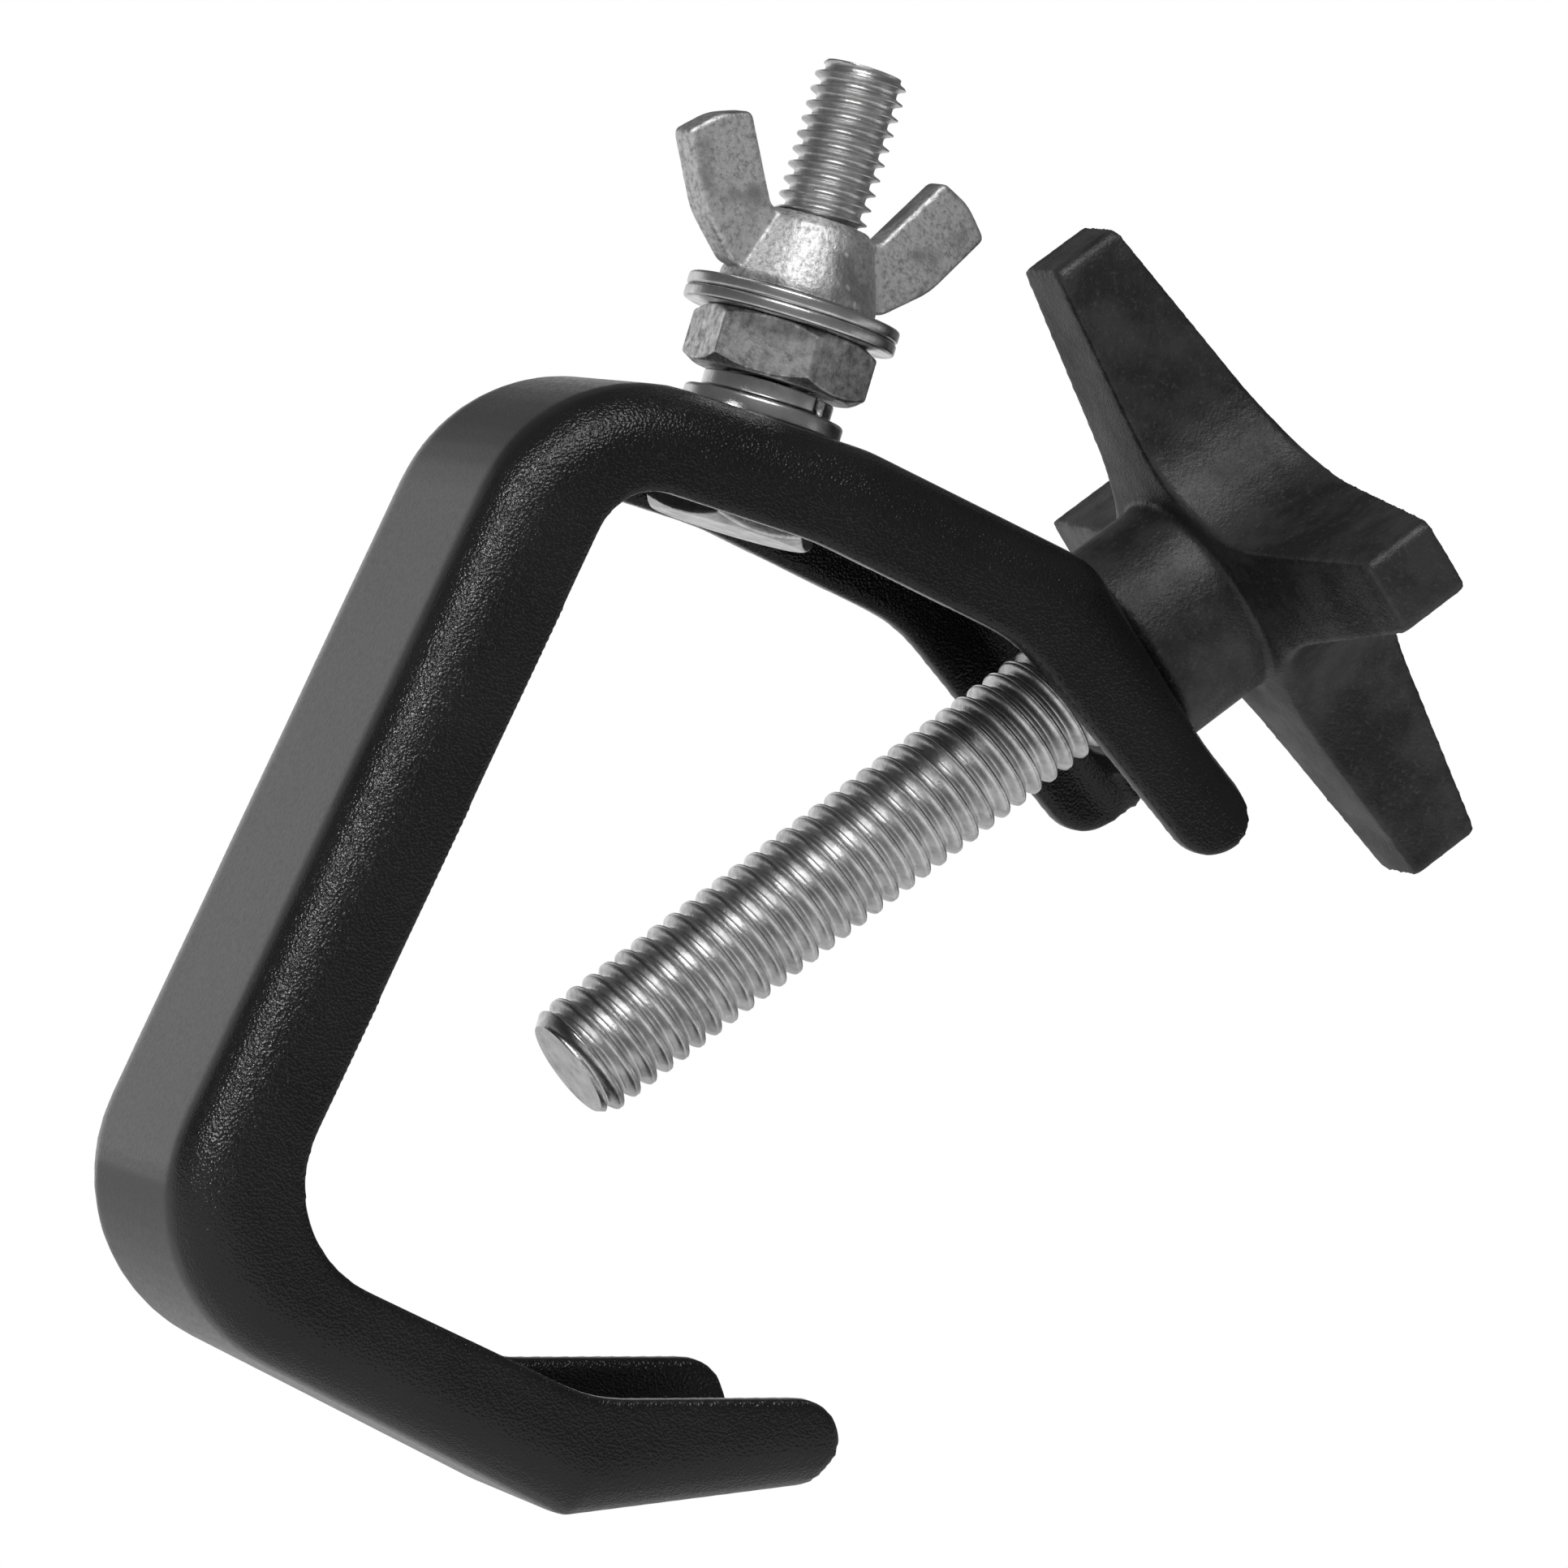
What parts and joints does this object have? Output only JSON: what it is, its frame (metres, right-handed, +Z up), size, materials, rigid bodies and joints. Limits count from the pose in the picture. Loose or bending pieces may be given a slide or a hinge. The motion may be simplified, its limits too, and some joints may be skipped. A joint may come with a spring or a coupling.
{
  "type": "pipe clamp",
  "caption": "Stage lamp pipe clamp: a C-shaped steel channel that hooks over a pipe, a screw with a lobed knob that grips it, and a threaded stud with washers and wing nut for the lamp's yoke.",
  "frame": {"origin": "centre of the largest pipe, 50 mm in diameter, seated in the lower corner of the channel", "axes": "+Z up along the stud; +X out of the mouth of the C, towards the knob; +Y along the pipe, across the channel"},
  "size_m": [0.1306, 0.076, 0.1481],
  "materials": {
    "frame_coat": "satin powder coat with a fine pebble texture",
    "screw_zinc": "bright zinc plate on a rolled thread",
    "knob_plastic": "moulded, lightly grained",
    "cap_plastic": "moulded, lightly grained",
    "stud_zinc": "bright zinc plate on a rolled thread",
    "washer_zinc": "bright zinc plate",
    "nut_zinc": "zinc plate over forged faces",
    "cast_zinc": "zinc plate over a grainy casting"
  },
  "bodies": {
    "frame": {"channel_frame": "frame_coat", "stud_bolt": "stud_zinc", "inner_washer": "washer_zinc", "base_washer": "washer_zinc", "lock_washer": "washer_zinc", "lock_nut": "nut_zinc", "lower_yoke_washer": "washer_zinc"},
    "screw_cap": {"knob_cap": "cap_plastic"},
    "screw": {"clamp_screw": "screw_zinc", "knob": "knob_plastic"},
    "yoke_clamp": {"upper_yoke_washer": "washer_zinc"},
    "wing": {"wing_nut": "cast_zinc"}
  },
  "joints": [
    {"name": "screw_travel", "type": "slide", "parent": "frame", "child": "screw_cap", "axis": [0.6211, 0, 0.7837], "range_m": [0, 0.0551]},
    {"name": "screw_turn", "type": "hinge", "parent": "screw_cap", "child": "screw", "pos_m": [0, 0, 0], "axis": [0.6211, 0, 0.7837], "range_deg": [0, 9354.3]},
    {"name": "washer_lift", "type": "slide", "parent": "frame", "child": "yoke_clamp", "axis": [0, 0, 1], "range_m": [0, 0.0151]},
    {"name": "wing_turn", "type": "hinge", "parent": "yoke_clamp", "child": "wing", "pos_m": [0.0029, 0, 0.085], "axis": [0, 0, 1], "range_deg": [0, 3401.6]}
  ],
  "couplings": [
    {"joint": "screw_travel", "follows": "screw_turn", "m_per_rad": 0.00033688},
    {"joint": "washer_lift", "follows": "wing_turn", "m_per_rad": 0.00025266}
  ]
}
